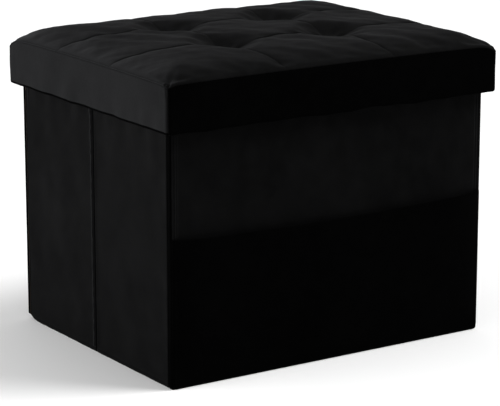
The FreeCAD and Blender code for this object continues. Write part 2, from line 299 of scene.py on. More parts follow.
def velvet(name, dark, light, sheen, spec=0.02, sheen_rough=0.5, stretch=(1, 1, 1), turned=None):
    """Short-pile velvet: brushed patches, fine pile and a soft sheen. turned is (from x, to x, sheen): a painted
    highlight, more sheen up to that value where the cover turns down to the left towards the light, between those x;
    with it, painted shade where it faces the front."""
    mat, nt, bsdf, co = node_material(name)
    patches = noise_node(nt, co, 9.0, 4.0, 0.55, stretch)
    brush = noise_node(nt, co, 55.0, 5.0, 0.6, stretch)
    mix = nt.nodes.new("ShaderNodeMath")
    mix.operation = "MULTIPLY_ADD"
    nt.links.new(brush.outputs["Fac"], mix.inputs[0])
    mix.inputs[1].default_value = 0.45
    sc = nt.nodes.new("ShaderNodeMath")
    sc.operation = "MULTIPLY"
    nt.links.new(patches.outputs["Fac"], sc.inputs[0])
    sc.inputs[1].default_value = 0.62
    nt.links.new(sc.outputs[0], mix.inputs[2])
    col = ramp(nt, mix.outputs[0], [(0.36, grey(dark)), (0.52, grey((dark + light) / 2)), (0.70, grey(light))])
    nt.links.new(col.outputs["Color"], bsdf.inputs["Base Color"])
    rough = ramp(nt, mix.outputs[0], [(0.35, grey(0.92)), (0.7, grey(0.72))])
    nt.links.new(rough.outputs["Color"], bsdf.inputs["Roughness"])
    pile = noise_node(nt, co, 2600.0, 2.0, 0.6)
    nap = noise_node(nt, co, 330.0, 3.0, 0.6, stretch)
    b1 = bump(nt, nap.outputs["Fac"], 0.35, 0.00035)
    b2 = bump(nt, pile.outputs["Fac"], 0.35, 0.00012, b1)
    nt.links.new(b2.outputs["Normal"], bsdf.inputs["Normal"])
    bsdf.inputs["Specular IOR Level"].default_value = spec
    bsdf.inputs["Sheen Weight"].default_value = sheen
    if turned:
        # painted highlight: more sheen where the normal faces the light on the left, near the left border
        geo = nt.nodes.new("ShaderNodeNewGeometry")
        dot = nt.nodes.new("ShaderNodeVectorMath")
        dot.operation = "DOT_PRODUCT"
        nt.links.new(geo.outputs["Normal"], dot.inputs[0])
        dot.inputs[1].default_value = (-1, 0, 0)
        sep = nt.nodes.new("ShaderNodeSeparateXYZ")
        nt.links.new(co.outputs["Object"], sep.inputs[0])
        where = nt.nodes.new("ShaderNodeMapRange")
        nt.links.new(sep.outputs["X"], where.inputs["Value"])
        where.inputs["From Min"].default_value = turned[0]
        where.inputs["From Max"].default_value = turned[1]
        both = nt.nodes.new("ShaderNodeMath")
        both.operation = "MULTIPLY"
        nt.links.new(dot.outputs["Value"], both.inputs[0])
        nt.links.new(where.outputs["Result"], both.inputs[1])
        to = nt.nodes.new("ShaderNodeMapRange")
        nt.links.new(both.outputs[0], to.inputs["Value"])
        to.inputs["From Min"].default_value = 0.06
        to.inputs["To Min"].default_value = sheen
        to.inputs["To Max"].default_value = turned[2]
        ahead = nt.nodes.new("ShaderNodeVectorMath")
        ahead.operation = "DOT_PRODUCT"
        nt.links.new(geo.outputs["Normal"], ahead.inputs[0])
        ahead.inputs[1].default_value = (0, -1, 0)
        front_shade = nt.nodes.new("ShaderNodeMapRange")       # painted shade: less sheen on what faces the front, away from the light
        nt.links.new(ahead.outputs["Value"], front_shade.inputs["Value"])
        front_shade.inputs["From Min"].default_value = 0.12
        front_shade.inputs["From Max"].default_value = 0.42
        front_shade.inputs["To Min"].default_value = 1.0
        front_shade.inputs["To Max"].default_value = 0.45
        fin = nt.nodes.new("ShaderNodeMath")
        fin.operation = "MULTIPLY"
        nt.links.new(to.outputs["Result"], fin.inputs[0])
        nt.links.new(front_shade.outputs["Result"], fin.inputs[1])
        nt.links.new(fin.outputs[0], bsdf.inputs["Sheen Weight"])
    bsdf.inputs["Sheen Roughness"].default_value = sheen_rough
    bsdf.inputs["Sheen Tint"].default_value = (0.93, 0.95, 1.0, 1)
    return mat


def nonwoven(name, dark, light):
    """Spun-bonded lining: matte, with a pressed grid of small points and cloudy fibres."""
    mat, nt, bsdf, co = node_material(name)
    cloud = noise_node(nt, co, 130.0, 6.0, 0.65)
    col = ramp(nt, cloud.outputs["Fac"], [(0.35, grey(dark)), (0.65, grey(light))])
    nt.links.new(col.outputs["Color"], bsdf.inputs["Base Color"])
    vor = nt.nodes.new("ShaderNodeTexVoronoi")
    vor.inputs["Scale"].default_value = 420.0
    vor.inputs["Randomness"].default_value = 0.15
    nt.links.new(co.outputs["Object"], vor.inputs["Vector"])
    b1 = bump(nt, vor.outputs["Distance"], 0.5, 0.0004)
    b2 = bump(nt, cloud.outputs["Fac"], 0.3, 0.0003, b1)
    nt.links.new(b2.outputs["Normal"], bsdf.inputs["Normal"])
    bsdf.inputs["Roughness"].default_value = 0.85
    bsdf.inputs["Specular IOR Level"].default_value = 0.25
    return mat


def fibreboard(name):
    mat, nt, bsdf, co = node_material(name)
    fine = noise_node(nt, co, 700.0, 5.0, 0.7)
    cloud = noise_node(nt, co, 40.0, 4.0, 0.6)
    col = ramp(nt, fine.outputs["Fac"], [(0.3, (0.20, 0.125, 0.07)), (0.7, (0.36, 0.25, 0.15))])
    nt.links.new(col.outputs["Color"], bsdf.inputs["Base Color"])
    r = ramp(nt, cloud.outputs["Fac"], [(0.3, grey(0.7)), (0.7, grey(0.88))])
    nt.links.new(r.outputs["Color"], bsdf.inputs["Roughness"])
    b = bump(nt, fine.outputs["Fac"], 0.3, 0.0002)
    nt.links.new(b.outputs["Normal"], bsdf.inputs["Normal"])
    return mat


def foam_material(name):
    mat, nt, bsdf, co = node_material(name)
    cells = noise_node(nt, co, 900.0, 4.0, 0.7)
    cloud = noise_node(nt, co, 30.0, 3.0, 0.5)
    col = ramp(nt, cloud.outputs["Fac"], [(0.3, (0.56, 0.53, 0.42)), (0.7, (0.68, 0.65, 0.55))])
    nt.links.new(col.outputs["Color"], bsdf.inputs["Base Color"])
    b = bump(nt, cells.outputs["Fac"], 0.7, 0.0006)
    nt.links.new(b.outputs["Normal"], bsdf.inputs["Normal"])
    bsdf.inputs["Roughness"].default_value = 0.95
    return mat


def ribbon_material(name):
    mat, nt, bsdf, co = node_material(name)
    wave = nt.nodes.new("ShaderNodeTexWave")
    wave.bands_direction = "Y"
    wave.inputs["Scale"].default_value = 260.0
    wave.inputs["Distortion"].default_value = 0.4
    nt.links.new(co.outputs["Object"], wave.inputs["Vector"])
    col = ramp(nt, wave.outputs["Fac"], [(0.2, grey(0.008)), (0.8, grey(0.022))])
    nt.links.new(col.outputs["Color"], bsdf.inputs["Base Color"])
    b = bump(nt, wave.outputs["Fac"], 0.6, 0.0003)
    nt.links.new(b.outputs["Normal"], bsdf.inputs["Normal"])
    bsdf.inputs["Roughness"].default_value = 0.6
    bsdf.inputs["Sheen Weight"].default_value = 0.2
    return mat


def plain_material(name, a, b, rough, scale, metal=0.0):
    mat, nt, bsdf, co = node_material(name)
    n = noise_node(nt, co, scale, 4.0, 0.6)
    col = ramp(nt, n.outputs["Fac"], [(0.3, a), (0.7, b)])
    nt.links.new(col.outputs["Color"], bsdf.inputs["Base Color"])
    bm = bump(nt, n.outputs["Fac"], 0.25, 0.0002)
    nt.links.new(bm.outputs["Normal"], bsdf.inputs["Normal"])
    bsdf.inputs["Roughness"].default_value = rough
    bsdf.inputs["Metallic"].default_value = metal
    return mat


M_BODY = velvet("velvet_body", 0.0010, 0.0021, 0.024)
# painted shade: the front walls' velvet is a darker copy of the body's, with less sheen
M_FRONT_SHADED = velvet("velvet_front_shaded", 0.0009, 0.0019, 0.014)
# the top's velvet, with a painted highlight where it turns down to the left and painted shade where it faces the front
M_TOP = velvet("velvet_top", 0.0010, 0.0022, 0.017, turned=(-0.135, -0.175, 0.088))
M_LID = velvet("velvet_lid", 0.0010, 0.0022, 0.088)
# painted shade: the front skirt's velvet is a near-black copy of the lid velvet
M_LID_FRONT_SHADED = velvet("velvet_lid_front_shaded", 0.0003, 0.0006, 0.0035, spec=0.004)
# painted shade: the pocket's velvet is a near-black copy of the front velvet
M_POCKET_SHADED = velvet("velvet_pocket_shaded", 0.0003, 0.0006, 0.0035, spec=0.004)
# painted highlight: a high-sheen copy of the velvet for the raised edge beside each fold
M_LIP_HIGHLIGHT = velvet("velvet_lip_highlight", 0.0012, 0.0026, 0.095)
# painted highlight: a higher-sheen copy of the velvet for two fine folds beside each front corner
M_FOLD_HIGHLIGHT = velvet("velvet_fold_highlight", 0.0012, 0.0026, 0.042)
# painted shade: a near-black copy of the velvet for the hems, corner edges and gap strips
M_SEAM_SHADE = velvet("velvet_seam_shade", 0.0002, 0.0005, 0.003, spec=0.004)
M_LINING = nonwoven("lining", 0.011, 0.024)
M_BOARD = fibreboard("fibreboard")
M_FOAM = foam_material("foam")
M_RIBBON = ribbon_material("ribbon")
M_TWINE = plain_material("twine", grey(0.012), grey(0.03), 0.7, 900.0)
M_WASHER = plain_material("washer", grey(0.02), grey(0.035), 0.45, 300.0)
M_STAPLE = plain_material("staple", (0.5, 0.5, 0.5), (0.62, 0.62, 0.63), 0.3, 500.0, 1.0)

SLOT_MATERIAL = {
    "velvet": M_BODY, "seam": M_SEAM_SHADE, "nonwoven": M_LINING, "fibreboard": M_BOARD, "foam": M_FOAM,
    "ribbon": M_RIBBON, "twine": M_TWINE, "washer_plastic": M_WASHER, "staple_steel": M_STAPLE,
}
for sub in frame["record"]["subparts"]:
    ob = frame["nodes"][sub["node"]]
    for s in ob.material_slots:
        s.material = SLOT_MATERIAL[sub["material_slot"]]


# ------------------------------------------------------------------ lid: tufted top
def dome(d):
    """Height above the edge seam, at distance d inside the edge."""
    return (LID_TOP - SEAM_Z) * (1 - np.exp(-(np.maximum(d, 0) / 25.0) ** 0.80)) * 1.03


# how far each corner of the edge seam is pulled down, and over what length
CORNER_PULL = {(-1, -1): (3.2, 7.0), (-1, 1): (12.0, 15.0), (1, -1): (8.5, 11.0), (1, 1): (7.0, 12.0)}


def seam_rise(t, half, at_minus, at_plus):
    """The edge seam is pushed up in the middle of a side and pulled down at its corners."""
    out = 1.2 - 1.6 * np.clip(np.abs(t), 0, 1) ** 2
    for sign, (pull, reach) in ((-1, at_minus), (1, at_plus)):
        e = np.maximum(1 - sign * t, 0) * half
        out = out - pull * np.exp(-((e / reach) ** 1.3))
    return out


def side_rise(side, X, Y):
    if side in ("front", "back"):
        k = -1 if side == "front" else 1
        return seam_rise(X / HX, HX, CORNER_PULL[(-1, k)], CORNER_PULL[(1, k)])
    k = -1 if side == "left" else 1
    return seam_rise(Y / HY, HY, CORNER_PULL[(k, -1)], CORNER_PULL[(k, 1)])


def edge_rise(X, Y):
    """side_rise at the nearest point of the edge, eased across the corner diagonals."""
    k = smooth(-9.0, 9.0, (HX - np.abs(X)) - (HY - np.abs(Y)))
    along_x = np.where(Y < 0, side_rise("front", X, Y), side_rise("back", X, Y))
    along_y = np.where(X < 0, side_rise("left", X, Y), side_rise("right", X, Y))
    return (1 - k) * along_y + k * along_x


def valley(t):
    t = np.abs(t)
    return 1.8 * np.exp(-t / 1.1) + 1.8 * np.exp(-((t / 8.0) ** 1.3))


def tuft_depth(X, Y, d):
    """How far the top is pulled in, at plan point X, Y with edge distance d."""
    D = np.zeros_like(X)
    for tx, ty in TUFTS:
        r = np.hypot(X - tx, Y - ty)
        ang = np.arctan2(Y - ty, X - tx)
        R = 48.0 + 3.0 * np.cos(4 * ang) + 1.2 * np.cos(3 * ang + tx)
        t = np.clip((r - 6.0) / (R - 6.0), 0, 1)
        bowl = 11.4 * (1 - t * t * (3 - 2 * t)) + 0.7 * np.exp(-r / 5.0)
        # soft pleats that run into the tie
        bowl += 0.5 * np.cos(8 * ang + 0.8) * np.exp(-((r - 15.0) / 8.0) ** 2)
        D = np.maximum(D, bowl)
    # crease lines wander a little between the tufts
    wy = 1.8 * np.sin(X / 31.0 + 0.7) * smooth(8, 40, np.minimum(abs(X - 70), abs(X + 70)))
    wx = 1.8 * np.sin(Y / 27.0 + 1.9) * smooth(8, 40, np.minimum(abs(Y - 57), abs(Y + 57)))
    crease = np.zeros_like(X)
    for c in (-57.0, 57.0):
        along = np.minimum(abs(X - 70), abs(X + 70))
        k = 0.52 + 0.48 * np.exp(-along / 34.0)
        crease = np.maximum(crease, k * valley(Y - c - wy))
    for c in (-70.0, 70.0):
        along = np.minimum(abs(Y - 57), abs(Y + 57))
        k = 0.52 + 0.48 * np.exp(-along / 34.0)
        crease = np.maximum(crease, k * valley(X - c - wx))
    fade = 0.40 + 0.60 * smooth(1, 16, d)
    # a smooth maximum of the bowls and the creases, so that creases run on down into the bowls
    a, b = D, crease * fade
    return np.maximum(a, b) + 0.35 * np.minimum(a, b)


def lid_lines(h, tufts):
    edge = [0, 0.35, 0.9, 1.6, 2.5, 3.6, 5.0, 6.6, 8.4, 10.4, 12.8, 15.4]
    inner = spaced(-h + 18.0, h - 18.0, 2.6, tufts, 0.85, 5.0)
    return np.concatenate([[-h + e for e in edge], inner, [h - e for e in reversed(edge)]])


def edge_distance(U0, V0):
    return np.minimum(HX - np.abs(U0), HY - np.abs(V0))


def lid_surface(us, vs):
    """The padded top's outer surface on the grid us by vs."""
    U0, V0 = np.meshgrid(us, vs, indexing="ij")
    X, Y = corner_map(U0, V0, HX, HY, 34.0, 6.0)
    d = edge_distance(U0, V0)
    Z = SEAM_Z + dome(d) + edge_rise(X, Y) * np.exp(-d / 16.0)
    # corners droop a little more than the sides
    ca = np.clip((np.abs(U0) - (HX - 46)) / 46, 0, 1)
    cb = np.clip((np.abs(V0) - (HY - 46)) / 46, 0, 1)
    Z -= 5.5 * (ca * cb) ** 0.9 * smooth(0, 9, d)
    P = np.stack([X, Y, Z], -1)
    dx = np.gradient(P, axis=0)
    dy = np.gradient(P, axis=1)
    N = np.cross(dx, dy)
    N /= np.linalg.norm(N, axis=-1)[..., None] + 1e-12
    D = tuft_depth(X, Y, d)
    # slow unevenness of the filling
    D += 0.5 * waves(np.stack([X, Y], -1), 75.0, 5) * smooth(0, 14, d)
    D += 0.12 * waves(np.stack([X, Y], -1), 22.0, 9) * smooth(0, 10, d)
    # short gathers where the cover is pulled in at the corners
    cx, cy = np.abs(X) - (HX - 10.0), np.abs(Y) - (HY - 10.0)
    ang = np.arctan2(np.maximum(cy, 1e-3), np.maximum(cx, 1e-3))
    near = smooth(-12.0, 4.0, np.minimum(cx, cy)) * smooth(30, 4, d)
    D += near * 0.75 * np.cos(ang * 13.0 + 0.6)
    D += near * 1.3 * np.exp(-((ang - math.pi / 4) / 0.10) ** 2)
    P = P - N * (D * smooth(-0.5, 1.5, d))[..., None]
    return P


def settle_top():
    """Blows the velvet out over the pad between its seam, ties and creases; gives the moves on a coarse grid."""
    gu, gv = np.linspace(-HX, HX, 109), np.linspace(-HY, HY, 89)
    S = lid_surface(gu, gv)
    N = np.cross(np.gradient(S, axis=0), np.gradient(S, axis=1))
    N /= np.linalg.norm(N, axis=-1)[..., None] + 1e-12
    U0, V0 = np.meshgrid(gu, gv, indexing="ij")
    d = edge_distance(U0, V0)
    start = S - N * (1.0 * smooth(0, 12, d))[..., None]
    nu, nv = U0.shape
    idx = lambda i, j: i * nv + j
    F = [(idx(i, j), idx(i + 1, j), idx(i + 1, j + 1), idx(i, j + 1)) for i in range(nu - 1) for j in range(nv - 1)]
    ob = new_mesh("settling", start.reshape(-1, 3), F, M_LID)
    pin = np.where(d < 5.0, 1.0, 0.0)
    for tx, ty in TUFTS:
        pin = np.maximum(pin, np.exp(-(np.hypot(U0 - tx, V0 - ty) / 8.0) ** 4))
    for c in (-57.0, 57.0):
        pin = np.maximum(pin, 0.75 * np.exp(-((V0 - c) / 4.0) ** 2))
    for c in (-70.0, 70.0):
        pin = np.maximum(pin, 0.75 * np.exp(-((U0 - c) / 4.0) ** 2))
    group = ob.vertex_groups.new(name="pin")
    for k, w in enumerate(pin.reshape(-1)):
        if w > 0.02:
            group.add([k], float(w), "REPLACE")
    mod = ob.modifiers.new("settle", "CLOTH")
    st = mod.settings
    st.quality = 5
    st.mass = 0.3
    st.tension_stiffness = st.compression_stiffness = 20.0
    st.shear_stiffness = 8.0
    st.bending_stiffness = 0.3
    st.use_pressure = True
    st.uniform_pressure_force = 3.0
    st.shrink_min = -0.008
    st.vertex_group_mass = "pin"
    st.effector_weights.gravity = 0.0
    mod.collision_settings.use_collision = False
    mod.collision_settings.use_self_collision = False
    mod.point_cache.frame_start, mod.point_cache.frame_end = 1, 20
    scene = bpy.context.scene
    for f in range(1, 21):
        scene.frame_set(f)
    dg = bpy.context.evaluated_depsgraph_get()
    ev = ob.evaluated_get(dg)
    me = ev.to_mesh()
    co = np.empty(len(me.vertices) * 3)
    me.vertices.foreach_get("co", co)
    ev.to_mesh_clear()
    scene.frame_set(1)
    data = ob.data
    bpy.data.objects.remove(ob)
    bpy.data.meshes.remove(data)
    move = (co.reshape(nu, nv, 3) / MM - start)
    size = np.linalg.norm(move, axis=-1)
    print("settled: mean %.2f mm, largest %.2f mm" % (size.mean(), size.max()))
    for _ in range(2):                       # only the broad folds stay in taut velvet
        q = np.pad(move, ((1, 1), (1, 1), (0, 0)), mode="edge")
        move = (q[1:-1, 1:-1] * 2 + q[:-2, 1:-1] + q[2:, 1:-1] + q[1:-1, :-2] + q[1:-1, 2:]) / 6
    size = np.linalg.norm(move, axis=-1)
    cap = 0.6
    move *= (cap * np.tanh(size / cap) / np.maximum(size, 1e-9))[..., None]
    move += start - S
    return gu, gv, move


SETTLED = settle_top()


def settled_move(us, vs):
    """The simulated moves at the crossings of the lines us and vs."""
    out = np.zeros((len(us), len(vs), 3))
    if SETTLED is None:
        return out
    gu, gv, move = SETTLED
    i = np.clip(np.searchsorted(gu, us) - 1, 0, len(gu) - 2)
    j = np.clip(np.searchsorted(gv, vs) - 1, 0, len(gv) - 2)
    a = ((us - gu[i]) / (gu[i + 1] - gu[i]))[:, None, None]
    b = ((vs - gv[j]) / (gv[j + 1] - gv[j]))[None, :, None]
    m00, m10 = move[np.ix_(i, j)], move[np.ix_(i + 1, j)]
    m01, m11 = move[np.ix_(i, j + 1)], move[np.ix_(i + 1, j + 1)]
    return (m00 * (1 - a) + m10 * a) * (1 - b) + (m01 * (1 - a) + m11 * a) * b


us = lid_lines(HX, (-70.0, 70.0))
vs = lid_lines(HY, (-57.0, 57.0))
LID_P = lid_surface(us, vs) + settled_move(us, vs)


def lid_top_mesh():
    nu, nv = LID_P.shape[:2]
    pts = [LID_P.reshape(-1, 3)]
    idx = lambda i, j: i * nv + j
    faces = [(idx(i, j), idx(i + 1, j), idx(i + 1, j + 1), idx(i, j + 1))
             for i in range(nu - 1) for j in range(nv - 1)]
    loop = loop_of(nu, nv)
    base = np.array([LID_P[i, j] for i, j in loop])
    fwd = np.roll(base, -1, 0) - np.roll(base, 1, 0)
    nrm = np.stack([fwd[:, 1], -fwd[:, 0]], -1)
    nrm /= np.linalg.norm(nrm, axis=1)[:, None] + 1e-12
    prev = [idx(i, j) for i, j in loop]
    count, n = nu * nv, len(loop)
    for out, down in ((-0.15, 0.5), (-0.7, 1.0), (-1.6, 1.3), (-3.2, 1.35)):
        row = base.copy()
        row[:, :2] += nrm * out
        row[:, 2] -= down
        pts.append(row)
        cur = [count + k for k in range(n)]
        count += n
        faces += [(prev[k], cur[k], cur[(k + 1) % n], prev[(k + 1) % n]) for k in range(n)]
        prev = cur
    return np.concatenate(pts), faces, prev


P, F, RIM = lid_top_mesh()
P, F = shell(P, F, RIM, 1.2)
lid_top = fix_normals(new_mesh("lid_top", P, F, M_TOP))
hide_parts("lid_top_cover")
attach(lid_top, "lid")


def lid_pad_mesh():
    """The foam under the velvet: the same surface set in, closed by a flat underside."""
    step_u = us[::2] if len(us) % 2 else np.append(us[::2], us[-1])
    step_v = vs[::2] if len(vs) % 2 else np.append(vs[::2], vs[-1])
    S = lid_surface(step_u, step_v) + settled_move(step_u, step_v)
    dx, dy = np.gradient(S, axis=0), np.gradient(S, axis=1)
    N = np.cross(dx, dy)
    N /= np.linalg.norm(N, axis=-1)[..., None] + 1e-12
    S = S - N * 1.9
    k = np.array([(HX - 3.1) / HX, (HY - 3.1) / HY])
    S[..., 0] = np.clip(S[..., 0], -(HX - 3.1), HX - 3.1)
    S[..., 1] = np.clip(S[..., 1], -(HY - 3.1), HY - 3.1)
    nu, nv = S.shape[:2]
    pts = [S.reshape(-1, 3)]
    idx = lambda i, j: i * nv + j
    faces = [(idx(i, j), idx(i + 1, j), idx(i + 1, j + 1), idx(i, j + 1))
             for i in range(nu - 1) for j in range(nv - 1)]
    loop = loop_of(nu, nv)
    base = np.array([S[i, j] for i, j in loop])
    prev = [idx(i, j) for i, j in loop]
    count, n = nu * nv, len(loop)
    rows = [(324.5, 1.0), (FOAM_LO[2] + 0.6, 1.0), (FOAM_LO[2], 0.998), (FOAM_LO[2], 0.6), (FOAM_LO[2], 0.2)]
    for z, s in rows:
        row = base.copy()
        row[:, :2] *= s
        row[:, 2] = z
        pts.append(row)
        cur = [count + q for q in range(n)]
        count += n
        faces += [(prev[q], cur[q], cur[(q + 1) % n], prev[(q + 1) % n]) for q in range(n)]
        prev = cur
    pts.append(np.array([[0, 0, FOAM_LO[2]]]))
    faces += [(prev[q], count, prev[(q + 1) % n]) for q in range(n)]
    return np.concatenate(pts), faces


P, F = lid_pad_mesh()
lid_pad = fix_normals(new_mesh("lid_pad", P, F, M_FOAM))
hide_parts("lid_foam")
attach(lid_pad, "lid")


# ------------------------------------------------------------------ lid: skirt
SKIRT_R = 5.0


def skirt_path(side):
    """Plan points and outward normals of one strip's outer line, from corner seam to corner seam."""
    hx, hy, r = (HX, HY, SKIRT_R) if side in ("front", "back") else (HY, HX, SKIRT_R)
    pts, nrm = [], []
    for a in np.linspace(-45, 0, 9)[:-1]:
        t = math.radians(a)
        pts.append((-(hx - r) + r * math.sin(t), -(hy - r) - r * math.cos(t)))
        nrm.append((math.sin(t), -math.cos(t)))
    for x in np.linspace(-(hx - r), hx - r, int((hx - r) / 1.6)):
        pts.append((x, -hy))
        nrm.append((0.0, -1.0))
    for a in np.linspace(0, 45, 9)[1:]:
        t = math.radians(a)
        pts.append(((hx - r) + r * math.sin(t), -(hy - r) - r * math.cos(t)))
        nrm.append((math.sin(t), -math.cos(t)))
    pts, nrm = np.array(pts), np.array(nrm)
    turn = {"front": 0, "right": 90, "back": 180, "left": 270}[side]
    c, s = math.cos(math.radians(turn)), math.sin(math.radians(turn))
    R = np.array([[c, -s], [s, c]])
    return pts @ R.T, nrm @ R.T


def skirt(side, seed):
    pts, nrm = skirt_path(side)
    s = np.concatenate([[0], np.cumsum(np.linalg.norm(np.diff(pts, axis=0), axis=1))])
    total = s[-1]
    end = np.minimum(s, total - s)
    # cross-section, from the top seam down the face, round the hem and up inside: (out, z)
    zs = list(np.linspace(SEAM_Z - 5.5, SKIRT_Z + 3.0, 22))
    sec = [(-2.6, SEAM_Z - 1.6), (-1.1, SEAM_Z - 0.9), (-0.35, SEAM_Z - 1.3), (-0.05, SEAM_Z - 2.3), (0.0, SEAM_Z - 3.6)]
    sec += [(0.0, z) for z in zs]
    sec += [(-0.1, SKIRT_Z + 1.6), (-0.55, SKIRT_Z + 0.55), (-1.25, SKIRT_Z + 0.1), (-1.95, SKIRT_Z + 0.4),
            (-2.4, SKIRT_Z + 1.1), (-2.55, SKIRT_Z + 2.2), (-2.6, SKIRT_Z + 12.0), (-2.1, SKIRT_Z + 12.3)]
    back = [(-1.5, SKIRT_Z + 9.0), (-1.45, SKIRT_Z + 4.0), (-1.2, SEAM_Z - 6.0), (-1.9, SEAM_Z - 2.4)]
    sec += back
    sec = np.array(sec)
    n, m = len(s), len(sec)
    S2, Zn = np.meshgrid(s, sec[:, 1], indexing="ij")
    flat = np.stack([S2, Zn], -1)
    face = smooth(SEAM_Z - 0.5, SEAM_Z - 9, Zn)
    loose = smooth(SEAM_Z - 12, SKIRT_Z, Zn)
    out = np.tile(sec[:, 0], (n, 1))
    out += (0.17 * waves(flat, 70.0, seed) * face)
    out += (0.12 * waves(flat * [1, 0.25], 34.0, seed + 1) * loose)
    out -= 0.25 * face
    # gathers beside the corner seams, most of them near the top
    E = np.minimum(S2, total - S2)
    top = np.exp(-((SEAM_Z - 3 - Zn) / 9.0) ** 2)
    out += 0.55 * np.exp(-E / 9.0) * np.cos(E * 1.25 + 0.5) * (0.25 + top) * face ** 0.3
    # the seam itself
    out -= 1.25 * np.exp(-(E / 0.9) ** 2)
    # the skirt's lower edge isn't quite straight
    dz = (0.55 if side == "front" else 0.25) * waves(s[:, None] * [1.0, 0.0], 85.0, seed + 2) * smooth(0, 30, end)
    dz += 0.12 * waves(s[:, None] * [1.0, 0.0], 26.0, seed + 3)
    rise = side_rise(side, pts[:, 0], pts[:, 1])
    up = smooth(SKIRT_Z + 8.0, SEAM_Z, Zn)
    Zz = Zn + dz[:, None] * loose + rise[:, None] * up
    X = pts[:, None, 0] + nrm[:, None, 0] * out
    Y = pts[:, None, 1] + nrm[:, None, 1] * out
    P = np.stack([X, Y, Zz], -1).reshape(-1, 3)
    faces = []
    for i in range(n - 1):
        for j in range(m):
            k = (j + 1) % m
            faces.append((i * m + j, (i + 1) * m + j, (i + 1) * m + k, i * m + k))
    faces.append(tuple(range(m)))
    faces.append(tuple(reversed([(n - 1) * m + j for j in range(m)])))
    ob = fix_normals(new_mesh("skirt_" + side, P, faces, M_LID_FRONT_SHADED if side == "front" else M_LID))
    # painted shade: the lowest 3 mm of the skirt take the near-black velvet, a contact shadow under the lid
    ob.data.materials.append(M_SEAM_SHADE)
    for f in ob.data.polygons:
        if f.center.z < (SKIRT_Z + 3.0) * MM:
            f.material_index = 1
    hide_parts("lid_%s_skirt" % side)
    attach(ob, "lid")
    return ob


for k, side in enumerate(("front", "left", "back", "right")):
    skirt(side, 20 + 10 * k)


# ------------------------------------------------------------------ velvet covers of the walls
def place(kind):
    """Local (u, v, w) of a panel to the row frame; w is outward."""
    if kind == "front":
        return lambda p: np.stack([p[:, 0], -p[:, 2], p[:, 1]], -1)
    if kind == "back":
        return lambda p: np.stack([-p[:, 0], p[:, 2], p[:, 1]], -1)
    if kind == "left":
        return lambda p: np.stack([-p[:, 2], -p[:, 0], p[:, 1]], -1)
    return lambda p: np.stack([p[:, 2], p[:, 0], p[:, 1]], -1)


